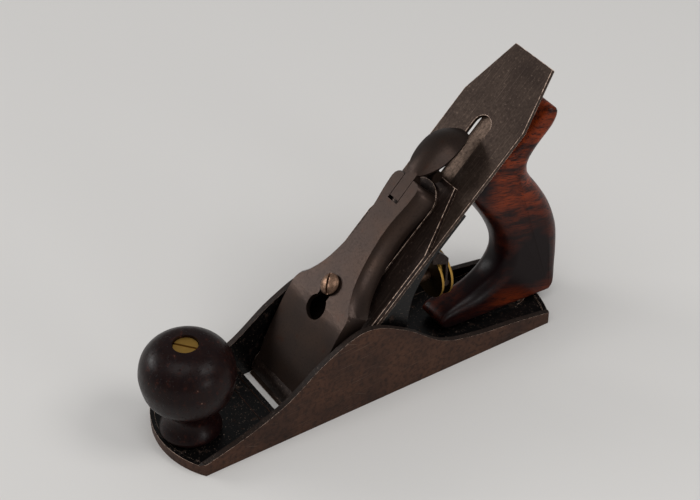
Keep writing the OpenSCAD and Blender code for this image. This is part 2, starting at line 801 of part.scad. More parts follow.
function lever_ring(s) =
    let (top = s > wing_s ? lever_top : lookup(s, lever_crown),
        under = s > wing_s ? lever_under : lookup(s, lever_belly),
        low = min(under, skirt_low + 0.46 * max(0, wing_full - s)),
        w = s > wing_s ? lookup(s, lever_plan) : lever_half,
        slope = s > wing_s && s < lever_end - 4
            ? lookup(s + 0.5, lever_plan) - lookup(s - 0.5, lever_plan) : 0,
        spread = skirt_spread * norm([1, slope]),
        side = [for (p = skirt_round) [min(lever_half, w + spread * p[0]), top - (top - low) * p[1]]],
        n = len(side),
        inner_low = side[n - 1][0] - skirt_t,
        inner_top = min(inner_low, w) - 1)
    concat(
        [for (i = [n - 1 : -1 : 0]) [s, -side[i][0], side[i][1]]],
        [for (i = [0 : n - 1]) [s, side[i][0], side[i][1]]],
        [[s, inner_low, low], [s, inner_top, under], [s, -inner_top, under], [s, -inner_low, low]]);

lever_steps = [nose_s, 11, 14, 18, 22, 27, 31.5, wing_low, 41, wing_full, wing_s, 52, 53, 54, 55, 56,
    57, 58.5, 60.5, 63, 66.5, 70.5, 75, 80, 86, 92, 98, 104, 110, 114, lever_end - 4, lever_end - 2,
    lever_end - 0.8, lever_end];

module lever_cap() {
    color("#55473f") on_cap() difference() {
        union() {
            skin([for (s = lever_steps) lever_ring(s)]);
            translate([spring_pin_s, 0, spring_top])
                cylinder(r = spring_boss_r, h = lever_top - spring_top - over);
        }
        translate([key_s, 0, 0]) cylinder(r = keyhole_r, h = lever_top + over);
        translate([key_s, -neck_slot, 0]) cube([keyhole_run, 2 * neck_slot, lever_top + over]);
        translate([cap_screw_s, 0, 0]) cylinder(r = neck_slot + 0.15, h = lever_top + over);
        side_extrude(2 * cam_slot_half) polygon([
            [lever_end + over, lever_under - over], [lever_end + over, lever_top + over],
            [cam_slot_front + over * cam_undercut, lever_top + over],
            [cam_slot_front - (lever_t + over) * cam_undercut, lever_under - over]
        ]);
        on_cam() cylinder(r = cam_pin_r + run_gap, h = 2 * cam_pin_half, center = true);
        translate([spring_pin_s, 0, 0]) cylinder(r = spring_pin_r + run_gap, h = lever_top - over);
    }
}

module cap_spring() {
    color("#8a7d6e") on_cap() difference() {
        translate([0, 0, spring_low]) linear_extrude(spring_t) {
            polygon([
                [spring_start, -spring_half + 1.5], [spring_end - spring_half, -spring_half],
                [spring_end - spring_half, spring_half], [spring_start, spring_half - 1.5]
            ]);
            translate([spring_end - spring_half, 0]) circle(r = spring_half);
        }
        translate([spring_pin_s, 0, 0]) cylinder(r = spring_pin_r + run_gap, h = lever_top);
    }
}

module spring_rivet() {
    color("#8a7d6e") on_cap() translate([spring_pin_s, 0, spring_low])
        cylinder(r = spring_pin_r, h = lever_top - spring_low - over - 0.3);
}

// Puts its children on the cam's pin, along it
module on_cam() {
    translate([cam_s, 0, cam_h]) rotate([90, 0, 0]) children();
}

// Middle line of the thumb plate: distance past the lever cap's end, drop and half width
thumb_keys = smooth([
    [thumb_start, 0, cam_shank_half], [3.6, 0.03, 4.4], [5.2, 0.09, 5.9], [7.2, 0.2, 7.2],
    [10, 0.45, thumb_half - 1.6], [13.5, 0.95, thumb_half - 0.5], [17.5, 1.7, thumb_half],
    [21.5, 2.9, thumb_half - 0.1], [25, 4.9, thumb_half - 0.8], [28, 7.6, thumb_half - 2.3],
    [30.2, 10.6, thumb_half - 4.5], [thumb_l, 12.8, thumb_half - 7]
], 2);

function thumb_ring(k, ahead, back) =
    let (d = [ahead[0] - back[0], back[1] - ahead[1]], l = norm(d),
        across = [-d[1] / l, d[0] / l],
        dome = 0.026 * k[2] * k[2],
        p = [lever_end + k[0], lever_top - k[1]],
        point = function (share, depth)
            let (fall = dome * share * share + depth)
            [p[0] - across[0] * fall, k[2] * share, p[1] - across[1] * fall])
    concat([for (i = [-4 : 4]) point(i / 4, 0)],
        [point(0.96, thumb_t - 1), point(0.5, thumb_t), point(-0.5, thumb_t), point(-0.96, thumb_t - 1)]);

module cam_lever() {
    n = len(thumb_keys);
    shank_end = lever_end - cam_s + thumb_start + over;
    shank_top = lever_top - cam_h;
    color("#514640") on_cap() difference() {
        union() {
            on_cam() difference() {
                cylinder(r = cam_r, h = 2 * cam_half, center = true);
                translate([-3 * cam_r + cam_flat, -cam_r, -cam_half - over])
                    cube([2 * cam_r, 2 * cam_r, 2 * (cam_half + over)]);
            }
            translate([cam_s, 0, cam_h]) side_extrude(2 * cam_shank_half) polygon([
                [cam_flat - cam_r + 0.5, 0], [-cam_shank_front, shank_top - cam_shank_drop],
                [-cam_shank_front, shank_top], [shank_end, shank_top - 0.1],
                [shank_end, shank_top - thumb_t], [cam_r - 0.5, 0]
            ]);
            skin([for (i = [0 : n - 1])
                thumb_ring(thumb_keys[i], thumb_keys[min(i + 1, n - 1)], thumb_keys[max(i - 1, 0)])]);
            translate([lever_end + cam_heel_x, 0, cam_heel_h]) {
                rotate([90, 0, 0]) cylinder(r = cam_heel_r, h = 2 * cam_heel_half, center = true);
                translate([-cam_heel_r, -cam_shank_half, 0])
                    cube([2 * cam_heel_r, 2 * cam_shank_half, lever_top - thumb_t / 2 - cam_heel_h]);
            }
        }
        on_cam() cylinder(r = cam_pin_r + run_gap, h = body_w, center = true);
    }
}

module cam_pin() {
    color("#6a6056") on_cap() on_cam()
        cylinder(r = cam_pin_r, h = 2 * (cam_pin_half - 0.2), center = true);
}

module lever_cap_screw() {
    color("#7a6048") on_bed() translate([cap_screw_s, 0, 0]) difference() {
        union() {
            translate([0, 0, over - frog_t - screw_boss_l])
                cylinder(r = cap_screw_r, h = frog_t + screw_boss_l - over + lever_top + free_gap);
            translate([0, 0, lever_top + free_gap]) rotate_extrude()
                polygon([[0, 0], [screw_head_r - 0.5, 0], [screw_head_r, 0.5], [screw_head_r, 1.1],
                    [screw_head_r - 0.8, 1.9], [screw_head_r - 2.4, 2.5], [0, 2.8]]);
        }
        rotate([0, 0, 35]) translate([-screw_head_r - over, -slot_cut / 2, lever_top + free_gap + 1])
            cube([2 * (screw_head_r + over), slot_cut, 2 + over]);
    }
}

// Knob

module front_knob() {
    foot = knob_foot_r;
    r = knob_r;
    h = knob_h;
    profile = smooth([[foot - 1.9, 0], [foot - 1.3, 0.7], [foot, 2.6], [foot - 0.8, h * 0.1],
        [foot * 0.83, h * 0.16],
        [foot * 0.76, h * 0.23], [foot * 0.84, h * 0.31], [r * 0.72, h * 0.39], [r * 0.91, h * 0.47],
        [r, h * 0.62], [r, h * 0.72], [r * 0.93, h * 0.83], [r * 0.77, h * 0.92],
        [r * 0.54, h * 0.98], [nut_recess_r, h]], 4);
    color("#2e1a14") translate([knob_x, 0, bed_t]) difference() {
        rotate_extrude($fn = 96) polygon(concat([[0, 0]], profile, [[0, h]]));
        translate([0, 0, -over]) cylinder(r = bolt_r + free_gap, h = h + 2 * over);
        translate([0, 0, -over]) cylinder(r = boss_r + free_gap, h = over + boss_h + free_gap);
        translate([0, 0, h - nut_sink - knob_nut_t]) cylinder(r = nut_recess_r, h = h);
    }
}

module knob_bolt() {
    color("#5b4a3c") translate([knob_x, 0, bolt_bottom + end_gap])
        cylinder(r = bolt_r, h = knob_top - nut_sink - knob_nut_cap - end_gap - bolt_bottom);
}

module knob_nut() {
    top = knob_top - nut_sink;
    color("#b58a3c") translate([knob_x, 0, 0]) difference() {
        translate([0, 0, top - knob_nut_t]) cylinder(r = knob_nut_r, h = knob_nut_t);
        translate([0, 0, top - knob_nut_t - over])
            cylinder(r = bolt_r + run_gap, h = knob_nut_t - knob_nut_cap + over);
        rotate([0, 0, -50]) translate([-knob_nut_r - over, -slot_cut / 2, top - slot_depth])
            cube([2 * (knob_nut_r + over), slot_cut, slot_depth + over]);
    }
}

// Tote

// Side outline of the tote above its seat: x, z and the rounding of its edge
tote_keys = [
    [50, 0, 0.8], [46.8, 1.2, 1.4], [45, 4.6, 2.2], [48.5, 8.6, 4], [56, 11.2, 6], [66, 13.6, 8],
    [75, 18, 8], [80.6, 24.5, 8], [82, 31.5, 8], [80, 40, 8], [75.5, 49.5, 8], [69.5, 59, 7],
    [63.5, 68, 4.5], [60.5, 75.5, 2.6], [65.5, 81.5, 3.6], [77, 91, 4.8], [88, 99.5, 4.6],
    [96, 108, 3.2], [101.5, 111.6, 2.6], [105.6, 108.6, 2.6], [104, 101, 4], [97, 91.5, 5.6],
    [93, 83.5, 7], [94.6, 75, 8], [101, 65.5, 8], [108.5, 53, 8], [113.6, 39.5, 8], [115.3, 26, 8],
    [114.6, 13, 6], [112.6, 3.4, 2], [109.5, 0, 0.8]
];
tote_layers = 5;

function tote_half(x) = tote_toe_w / 2 + (tote_w - tote_toe_w) / 2 * (x - 45) / 70;

function tote_rings() =
    let (pts = smooth(tote_keys, 3), n = len(pts))
    [for (j = [tote_layers : -1 : -tote_layers])
        let (a = 90 * j / tote_layers)
        [for (i = [0 : n - 1])
            let (p = pts[i], ahead = pts[(i + 1) % n], back = pts[(i + n - 1) % n],
                d = [ahead[0] - back[0], ahead[1] - back[1]], l = norm(d),
                inward = [d[1] / l, -d[0] / l],
                inset = p[2] * (1 - cos(a)))
            [p[0] + inward[0] * inset, (tote_half(p[0]) - p[2]) * sign(j) + p[2] * sin(a),
                tote_seat + p[1] + inward[1] * inset]]];

module rear_tote() {
    color("#6b3320") difference() {
        skin(tote_rings());
        tote_axis() {
            translate([0, 0, -over]) cylinder(r = bolt_r + free_gap, h = tote_nut_top);
            translate([0, 0, -over * 3])
                cylinder(r = tote_boss_r + free_gap, h = over * 3 + tote_boss_h + free_gap);
            translate([0, 0, tote_nut_top - tote_nut_l])
                cylinder(r = tote_nut_recess_r, h = 4 * tote_nut_l);
        }
    }
}

module tote_bolt() {
    start = bolt_bottom - tote_seat + 3 * end_gap;
    color("#5b4a3c") tote_axis() translate([0, 0, start])
        cylinder(r = bolt_r, h = tote_nut_top - tote_nut_cap - start);
}

module tote_nut() {
    color("#b58a3c") tote_axis() difference() {
        translate([0, 0, tote_nut_top - tote_nut_l]) cylinder(r = tote_nut_r, h = tote_nut_l);
        translate([0, 0, tote_nut_top - tote_nut_l - over])
            cylinder(r = bolt_r + run_gap, h = tote_nut_l - tote_nut_cap + over);
        translate([-tote_nut_r - over, -slot_cut / 2, tote_nut_top - slot_depth])
            cube([2 * (tote_nut_r + over), slot_cut, slot_depth + over]);
    }
}

body_casting();
frog();
frog_screws();
frog_washers();
adjusting_stud();
adjusting_nut();
forked_lever();
fork_pin();
lateral_lever();
lateral_disc();
lateral_rivet();
cutting_iron();
cap_iron();
cap_iron_screw();
lever_cap();
cap_spring();
spring_rivet();
cam_lever();
cam_pin();
lever_cap_screw();
front_knob();
knob_bolt();
knob_nut();
rear_tote();
tote_bolt();
tote_nut();
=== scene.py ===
import json
import math

import bpy
from bpy.props import FloatProperty, FloatVectorProperty, PointerProperty
from mathutils import Matrix, Vector

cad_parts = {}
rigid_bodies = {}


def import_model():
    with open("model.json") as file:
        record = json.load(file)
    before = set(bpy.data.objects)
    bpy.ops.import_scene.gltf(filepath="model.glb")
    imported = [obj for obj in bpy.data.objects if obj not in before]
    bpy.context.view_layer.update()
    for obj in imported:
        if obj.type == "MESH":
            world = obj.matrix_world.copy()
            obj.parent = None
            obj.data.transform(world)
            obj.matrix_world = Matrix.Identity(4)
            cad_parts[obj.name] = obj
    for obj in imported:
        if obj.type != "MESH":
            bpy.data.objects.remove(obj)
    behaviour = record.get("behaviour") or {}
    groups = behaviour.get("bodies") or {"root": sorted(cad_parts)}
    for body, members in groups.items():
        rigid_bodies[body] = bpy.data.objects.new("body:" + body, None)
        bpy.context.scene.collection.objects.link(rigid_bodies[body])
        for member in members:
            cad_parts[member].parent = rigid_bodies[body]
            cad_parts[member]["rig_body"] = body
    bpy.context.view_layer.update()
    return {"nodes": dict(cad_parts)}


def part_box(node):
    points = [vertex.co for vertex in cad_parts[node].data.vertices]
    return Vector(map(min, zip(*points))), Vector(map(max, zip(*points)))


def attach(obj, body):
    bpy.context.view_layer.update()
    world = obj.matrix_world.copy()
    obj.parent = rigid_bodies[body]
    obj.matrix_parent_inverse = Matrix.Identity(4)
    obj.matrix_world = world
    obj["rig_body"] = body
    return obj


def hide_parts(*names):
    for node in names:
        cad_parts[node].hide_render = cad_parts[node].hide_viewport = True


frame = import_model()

bl_info = {
    "name": "Smoothing plane",
    "version": (1, 0, 0),
    "blender": (4, 5, 0),
    "location": "3D View > Sidebar > Plane",
    "description": "Dresses the packed smoothing plane: castings, irons, lever cap, brass and rosewood",
    "category": "Object",
}

MM = 0.001

# The bed that the iron lies on climbs towards the heel
BED_ANGLE = math.radians(45)

# Points that are closer than MERGE_GAP are one, and faces that turn by less than FLAT_TURN are one flat face
MERGE_GAP = 0.002 * MM
FLAT_TURN = math.radians(0.4)
# Edges that turn by more than WORN_TURN are worn round, and past SHARP_TURN they stay sharp to the shading
WORN_TURN = math.radians(40)
SHARP_TURN = math.radians(38)
# The faces at a nut's ends have more than this share of their normal along the nut
END_FACING = 0.9

# Camera at the photograph's viewing point: place, right and up in the frame of the object
CAMERA_PLACE = Vector((-0.346404, -0.519666, 0.568356))
CAMERA_RIGHT = Vector((0.83704946, -0.54708251, 0.00699538))
CAMERA_UP = Vector((0.33625700, 0.52448319, 0.78220752))
CAMERA_LENS = 90.03
CAMERA_REACH = (0.01, 50.0)
SENSOR_WIDTH = 36.0

# The studio: the floor's side in metres, the sky's colour and strength as light and as seen by the camera and in
# gloss, and the soft boxes, each with its name, place, width, height and power in watts
FLOOR_SIZE = 12.0
SKY_LIGHT = ((0.95, 0.97, 1.0, 1.0), 0.44)
SKY_SHOWN = ((0.8, 0.8, 0.8, 1.0), 0.3)
SOFT_BOXES = (
    ("back_left_box", (-1.05, 1.35, 0.66), 0.9, 0.42, 8.5),
    ("low_front_box", (0.3, -1.4, 0.36), 0.4, 0.3, 2.5),
    ("overhead_box", (-0.5, -0.1, 1.5), 1.0, 1.0, 6.0),
    ("right_box", (0.5, -0.7, 1.1), 0.5, 0.5, 4.5),
)
LAMP_AIM = Vector((0, 0, 0.04))


def linear(hex_colour):
    """Linear red, green, blue and alpha of an sRGB hex colour."""
    channels = [int(hex_colour[i : i + 2], 16) / 255 for i in (1, 3, 5)]
    return [c / 12.92 if c <= 0.04045 else ((c + 0.055) / 1.055) ** 2.4 for c in channels] + [1.0]


def colour(name, description, hex_colour):
    """A colour property with an sRGB hex default."""
    return FloatVectorProperty(
        name=name, description=description, subtype="COLOR", size=4, min=0, max=1, default=linear(hex_colour)
    )


def length(name, description, millimetres):
    """A length property with its default in millimetres."""
    return FloatProperty(
        name=name, description=description, subtype="DISTANCE", unit="LENGTH", min=0, default=millimetres * MM
    )


class PlaneSizes(bpy.types.PropertyGroup):
    """Sizes of the plane's worn edges."""

    casting_edge: length("Casting edge", "Radius worn on the castings' edges", 0.45)
    steel_edge: length("Steel edge", "Radius worn on the irons' edges", 0.22)
    small_edge: length("Screw edge", "Radius on the edges of screws, pins and washers", 0.18)
    brass_edge: length("Brass edge", "Radius on the edges of the brass nuts", 0.25)
    cap_edge: length("Lever cap edge", "Radius along the arrises of the lever cap", 0.4)
    leaf_edge: length("Thumb leaf edge", "Radius round the cam lever's thumb leaf", 0.3)
    wood_edge: length("Wood edge", "Radius worn on the wood round its bores and at its foot", 0.5)


class PlaneColours(bpy.types.PropertyGroup):
    """Colours of the plane's finishes."""

    patina: colour("Iron patina", "Brown skin of the bare cast iron", "#321c11")
    patina_light: colour("Worn patina", "Patina where hands have polished it", "#4a2d1d")
    patina_dark: colour("Dark patina", "Old rust and grease in the patina", "#1b110c")
    bare_edge: colour("Bare edge", "Iron rubbed bright along an edge", "#d2b6a3")
    japan: colour("Japanning", "Black baked varnish inside the body", "#070606")
    japan_chip: colour("Chipped japanning", "Brown iron where the varnish has chipped", "#2b1d15")
    steel: colour("Iron face", "Grey-brown steel of the cutting iron", "#40332b")
    steel_dark: colour("Iron stain", "Dark stains on the steel", "#281c17")
    strip: colour("Lateral strip", "Rubbed steel of the lateral lever", "#6a584c")
    cap_steel: colour("Cap iron", "Rust-brown steel of the cap iron", "#2a1d17")
    lever_iron: colour("Lever cap", "Satin skin of the lever cap", "#342924")
    lever_worn: colour("Worn lever cap", "Lever cap where hands have polished it", "#433228")
    rust: colour("Rust", "Red-brown rust on the lever cap", "#3a1d12")
    screw: colour("Screws", "Browned steel of the screws", "#8a6c58")
    brass: colour("Brass", "Dull brass of the nuts", "#a5813f")
    brass_dark: colour("Tarnish", "Tarnish in the brass", "#2a1d10")
    rosewood: colour("Rosewood", "Red-brown of the tote's rosewood", "#421a0e")
    rosewood_light: colour("Rosewood figure", "Lighter figure of the tote's rosewood", "#7c3012")
    # This colour is also the tote's dark ground at the throat and foot, which is there partly painted shade.
    rosewood_dark: colour("Rosewood streaks", "Dark streaks of the rosewood", "#120708")
    knob_wood: colour("Knob", "Dark rosewood of the knob", "#190a08")
    floor: colour("Floor", "Pale studio floor", "#d9d6d2")


def add(tree, kind, inputs=(), **settings):
    """Adds one node with its settings, and sets or links its inputs, given by name or in their order."""
    made = tree.nodes.new(kind)
    for name, value in settings.items():
        setattr(made, name, value)
    for name, value in inputs.items() if isinstance(inputs, dict) else enumerate(inputs):
        if isinstance(value, bpy.types.Node):
            value = value.outputs[0]
        if isinstance(value, bpy.types.NodeSocket):
            tree.links.new(value, made.inputs[name])
        else:
            made.inputs[name].default_value = value
    return made


def new_material(name):
    """An empty node material and its tree, with Object coordinates."""
    made = bpy.data.materials.new(name)
    made.use_nodes = True
    tree = made.node_tree
    tree.nodes.clear()
    place = add(tree, "ShaderNodeTexCoord").outputs["Object"]
    return made, tree, place


def close_material(tree, shader_inputs):
    """Adds the surface shader and the output."""
    shader = add(tree, "ShaderNodeBsdfPrincipled", shader_inputs)
    add(tree, "ShaderNodeOutputMaterial", {"Surface": shader})


def patches(tree, place, size_mm, detail=4.0, rough=0.55, stretch=(1, 1, 1), turn=(0, 0, 0)):
    """A soft noise whose patches measure size_mm, stretched along the axes, as a value from 0 to 1."""
    per_metre = [1 / (size_mm * MM * s) for s in stretch]
    turned = add(tree, "ShaderNodeMapping", {"Vector": place, "Rotation": turn})
    scaled = add(tree, "ShaderNodeMapping", {"Vector": turned, "Scale": per_metre})
    return add(tree, "ShaderNodeTexNoise", {"Vector": scaled, "Scale": 1.0, "Detail": detail, "Roughness": rough})


def coated(tree, tint, coat, pattern, start, end, most=1.0):
    """The tint under a coat, which covers none of it where the pattern is at start and most of it from end on."""
    cover = add(tree, "ShaderNodeMapRange", (pattern, start, end, 0.0, most))
    return add(tree, "ShaderNodeMix", {0: cover, 6: tint, 7: coat}, data_type="RGBA").outputs[2]


def surfaced(tree, tint, shine, relief, metallic=0.0, specular=0.5):
    """Closes a material with its shine and its relief.

    shine holds a pattern, two values of it and the roughness at each. relief lists patterns from the broadest to the
    finest, each with the depth in millimetres that it spans and its strength.
    """
    normal = {}
    for pattern, depth_mm, strength in relief:
        raised = {"Height": pattern, "Distance": depth_mm * MM, "Strength": strength}
        normal = {"Normal": add(tree, "ShaderNodeBump", {**raised, **normal})}
    roughness = add(tree, "ShaderNodeMapRange", shine)
    plain = {"Metallic": metallic, "Specular IOR Level": specular}
    close_material(tree, {"Base Color": tint, "Roughness": roughness, **plain, **normal})


def brown_cast_iron(paint):
    """Machined grey cast iron under a century of brown patina: satin, blotched, with fine lengthwise scratches."""
    made, tree, place = new_material("brown_cast_iron")
    blotch = patches(tree, place, 22)
    mottle = patches(tree, place, 2.2, 6.0, 0.65)
    # Scratches about 0.5 mm apart, drawn long along the sole, and a few strays that cross them
    scratch = patches(tree, place, 0.5, 3.0, 0.6, (60, 1, 1), (0, math.radians(4), 0))
    stray = patches(tree, place, 0.8, 2.0, 0.5, (30, 1, 1), (0, math.radians(-24), 0))
    tint = coated(tree, paint.patina, paint.patina_light, blotch, 0.35, 0.68)
    tint = coated(tree, tint, paint.patina_dark, mottle, 0.46, 0.7, 0.75)
    tint = coated(tree, tint, paint.bare_edge, scratch, 0.6, 0.8, 0.14)
    tint = coated(tree, tint, paint.bare_edge, stray, 0.7, 0.78, 0.14)
    relief = ((mottle, 0.03, 0.6), (scratch, 0.012, 0.5))
    surfaced(tree, tint, (mottle, 0.3, 0.7, 0.44, 0.6), relief, metallic=0.4, specular=0.3)
    return made


def bare_iron_edge(paint):
    """Iron rubbed bright on its corners by hands and shavings, with the patina coming back in spots."""
    made, tree, place = new_material("bare_iron_edge")
    spots = patches(tree, place, 2.2, 5.0, 0.65)
    rubbed = patches(tree, place, 0.5, 3.0, 0.6)
    tint = coated(tree, paint.bare_edge, paint.patina_light, spots, 0.44, 0.62)
    surfaced(tree, tint, (spots, 0.3, 0.7, 0.35, 0.5), ((rubbed, 0.01, 0.5),), metallic=0.35)
    return made


def black_japanning(paint):
    """Thick black varnish baked on rough casting: deep black and soft-glossy, pitted, chipped to brown iron."""
    made, tree, place = new_material("black_japanning")
    chips = patches(tree, place, 4.5, 8.0, 0.75)
    specks = patches(tree, place, 0.7, 2.0, 0.5)
    casting = patches(tree, place, 1.6, 5.0, 0.65)
    chipped = add(tree, "ShaderNodeMapRange", (chips, 0.58, 0.61))
    tint = coated(tree, paint.japan, paint.japan_chip, chipped, 0, 1)
    tint = coated(tree, tint, paint.bare_edge, specks, 0.67, 0.72, 0.3)
    relief = ((casting, 0.14, 0.7), (chipped, 0.1, 0.5))
    surfaced(tree, tint, (chipped, 0, 1, 0.34, 0.75), relief, specular=0.22)
    return made


def ground_steel(name, paint, base, stain, metallic, roughness):
    """Tool steel, ground lengthwise and stained by damp: satin grey-brown, mottled, with darker clouds."""
    made, tree, place = new_material(name)
    cloud = patches(tree, place, 16, 5.0, 0.6)
    mottle = patches(tree, place, 1.3, 5.0, 0.7)
    # Grinding lines about 0.4 mm apart, drawn long up the bed
    lines = patches(tree, place, 0.4, 2.0, 0.5, (40, 1, 1), (0, BED_ANGLE, 0))
    tint = coated(tree, base, stain, cloud, 0.45, 0.72, 0.8)
    tint = coated(tree, tint, stain, mottle, 0.45, 0.68, 0.7)
    tint = coated(tree, tint, paint.bare_edge, mottle, 0.4, 0.28, 0.16)
    tint = coated(tree, tint, paint.bare_edge, lines, 0.58, 0.8, 0.1)
    relief = ((mottle, 0.025, 0.6), (lines, 0.01, 0.6))
    shine = (mottle, 0.3, 0.7, roughness, roughness + 0.16)
    surfaced(tree, tint, shine, relief, metallic=metallic, specular=0.35)
    return made


def satin_lever_iron(paint):
    """Cast iron, ground and polished, its bright finish worn to an even satin with small pits and rust."""
    made, tree, place = new_material("satin_lever_iron")
    cloud = patches(tree, place, 14, 4.0, 0.5)
    pits = patches(tree, place, 1.0, 5.0, 0.75)
    rust = patches(tree, place, 7, 6.0, 0.7)
    tint = coated(tree, paint.lever_iron, paint.lever_worn, cloud, 0.42, 0.7, 0.5)
    tint = coated(tree, tint, paint.patina_dark, pits, 0.5, 0.72, 0.55)
    tint = coated(tree, tint, paint.rust, rust, 0.6, 0.72, 0.6)
    surfaced(tree, tint, (pits, 0.3, 0.7, 0.28, 0.42), ((pits, 0.025, 0.6),), metallic=0.75, specular=0.35)
    return made


def dull_brass(name, paint, tarnished):
    """Turned brass gone dull: warm yellow metal with brown tarnish in its pores, all over it where tarnished is 1."""
    made, tree, place = new_material(name)
    pores = patches(tree, place, 1.6, 6.0, 0.7)
    turned = patches(tree, place, 0.5, 3.0, 0.6)
    tint = coated(tree, paint.brass, paint.brass_dark, pores, 0.62 - 0.5 * tarnished, 0.8 - 0.4 * tarnished, 0.92)
    surfaced(tree, tint, (pores, 0.3, 0.7, 0.34, 0.58), ((turned, 0.01, 0.6),), metallic=0.9)
    return made


def tote_rosewood(paint):
    """Oiled rosewood with short dark pores: orange-red on the grip, partly rubbed by the hand and partly painted
    light, and near black at the throat and foot, partly the wood's own colour and partly painted shade.
    """
    made, tree, place = new_material("tote_rosewood")
    grain_turn = (0, math.radians(-12), 0)
    # Figure about 4 mm wide and pores about 0.6 mm wide, all long along the grain
    figure = patches(tree, place, 4, 5.0, 0.65, (5, 1, 1), grain_turn)
    pores = patches(tree, place, 0.6, 3.0, 0.6, (11, 1, 1), grain_turn)
    warm = patches(tree, place, 26, 3.0, 0.5)
    # The upper sides and the back are red, partly rubbed by the hand and partly painted light; the throat and the
    # foot are dark, partly the wood's own colour and partly painted shade.
    # Each ramp runs between two places on the tote, measured from the corners of its box
    low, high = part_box("rear_tote")
    spot = add(tree, "ShaderNodeSeparateXYZ", {"Vector": place})
    along, up = spot.outputs["X"], spot.outputs["Z"]
    past_throat = add(tree, "ShaderNodeMapRange", (along, low.x + 21 * MM, low.x + 35 * MM))
    up_the_grip = add(tree, "ShaderNodeMapRange", (up, low.z + 41.5 * MM, low.z + 81.5 * MM))
    at_back = add(tree, "ShaderNodeMapRange", (along, high.x - 11.3 * MM, high.x + 0.7 * MM, 0.0, 0.3))
    behind_toe = add(tree, "ShaderNodeMapRange", (along, low.x + 19 * MM, low.x + 39 * MM))
    near_foot = add(tree, "ShaderNodeMapRange", (up, low.z + 13.5 * MM, low.z + 2.5 * MM, 0.0, 0.22))
    on_grip = add(tree, "ShaderNodeMath", (past_throat, up_the_grip), operation="MULTIPLY")
    on_foot = add(tree, "ShaderNodeMath", (near_foot, behind_toe), operation="MULTIPLY")
    # The red reach is where hand wear and painted light fall; outside it the tote keeps its dark, partly painted
    # shade.
    rubbed_and_lit_reach = add(tree, "ShaderNodeMath", (on_grip, at_back), operation="MAXIMUM")
    rubbed_and_lit_reach = add(tree, "ShaderNodeMath", (rubbed_and_lit_reach, on_foot), operation="MAXIMUM")
    rubbed_and_lit_reach = add(tree, "ShaderNodeMath", (rubbed_and_lit_reach, warm), operation="ADD")
    rubbed_and_lit = add(tree, "ShaderNodeMapRange", (rubbed_and_lit_reach, 0.5, 1.3))
    pale_figure = add(tree, "ShaderNodeMapRange", (figure, 0.62, 0.4))
    # The lighter figure shows only where the tote is red, so it is partly painted light.
    rubbed_and_lit_figure = add(tree, "ShaderNodeMath", (rubbed_and_lit, pale_figure), operation="MULTIPLY")
    # Dark rosewood wherever the red mask is low: the wood's own dark mixed with painted shade at the throat and foot.
    tint = coated(tree, paint.rosewood_dark, paint.rosewood, rubbed_and_lit, 0, 1)
    tint = coated(tree, tint, paint.rosewood_light, rubbed_and_lit_figure, 0, 1)
    tint = coated(tree, tint, paint.rosewood_dark, figure, 0.52, 0.7, 0.8)
    tint = coated(tree, tint, paint.rosewood_dark, pores, 0.52, 0.64, 0.85)
    surfaced(tree, tint, (pores, 0.3, 0.7, 0.28, 0.42), ((pores, 0.03, 0.5),), specular=0.13)
    return made


def knob_rosewood(paint):
    """Dark turned rosewood under old polish: near black, softly glossy, dented and rubbed in spots."""
    made, tree, place = new_material("knob_rosewood")
    streak = patches(tree, place, 2.6, 5.0, 0.65, (1, 1, 5))
    wear = patches(tree, place, 2.6, 6.0, 0.72)
    dents = patches(tree, place, 1.7, 4.0, 0.6)
    dented = add(tree, "ShaderNodeMapRange", (dents, 0.62, 0.68))
    tint = coated(tree, paint.knob_wood, paint.rosewood_dark, streak, 0.4, 0.66)
    tint = coated(tree, tint, paint.rosewood, wear, 0.56, 0.72, 0.7)
    tint = coated(tree, tint, paint.bare_edge, wear, 0.68, 0.72, 0.25)
    relief = ((wear, 0.12, 0.7), (dented, -0.2, 0.8))
    surfaced(tree, tint, (wear, 0.35, 0.7, 0.26, 0.46), relief, specular=0.14)
    return made


FINISHES = {}


def finishes(context):
    """Makes the materials once, by name."""
    if not FINISHES:
        paint = context.scene.plane_colours
        FINISHES.update(
            iron=brown_cast_iron(paint),
            edge=bare_iron_edge(paint),
            japan=black_japanning(paint),
            steel=ground_steel("stained_tool_steel", paint, paint.steel, paint.steel_dark, 0.7, 0.36),
            strip=ground_steel("rubbed_strip_steel", paint, paint.strip, paint.steel_dark, 0.75, 0.34),
            grime=ground_steel("grimy_iron", paint, paint.patina_dark, paint.japan_chip, 0.2, 0.55),
            cap_steel=ground_steel("rusted_cap_steel", paint, paint.cap_steel, paint.patina_dark, 0.6, 0.42),
            screw=ground_steel("browned_screw_steel", paint, paint.screw, paint.steel_dark, 0.85, 0.3),
            lever=satin_lever_iron(paint),
            brass=dull_brass("dull_brass", paint, 0.0),
            tarnished=dull_brass("tarnished_brass", paint, 1.0),
            tote=tote_rosewood(paint),
            knob=knob_rosewood(paint),
        )
    return FINISHES


def only(obj):
    """Makes obj the one that is selected and active."""
    if bpy.context.object and bpy.context.object.mode != "OBJECT":
        bpy.ops.object.mode_set(mode="OBJECT")
    bpy.ops.object.select_all(action="DESELECT")
    obj.hide_viewport = False
    obj.select_set(True)
    bpy.context.view_layer.objects.active = obj


def merged_copy(node):
    """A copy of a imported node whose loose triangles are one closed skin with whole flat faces."""
    source = frame["nodes"][node]
    piece = bpy.data.objects.new(node + "_piece", source.data.copy())
    bpy.context.scene.collection.objects.link(piece)
    piece.data.materials.clear()
    only(piece)
    bpy.ops.mesh.customdata_custom_splitnormals_clear()
    bpy.ops.object.mode_set(mode="EDIT")
    bpy.ops.mesh.select_all(action="SELECT")
    bpy.ops.mesh.remove_doubles(threshold=MERGE_GAP)
    bpy.ops.mesh.dissolve_limited(angle_limit=FLAT_TURN)
    bpy.ops.object.mode_set(mode="OBJECT")
    return piece


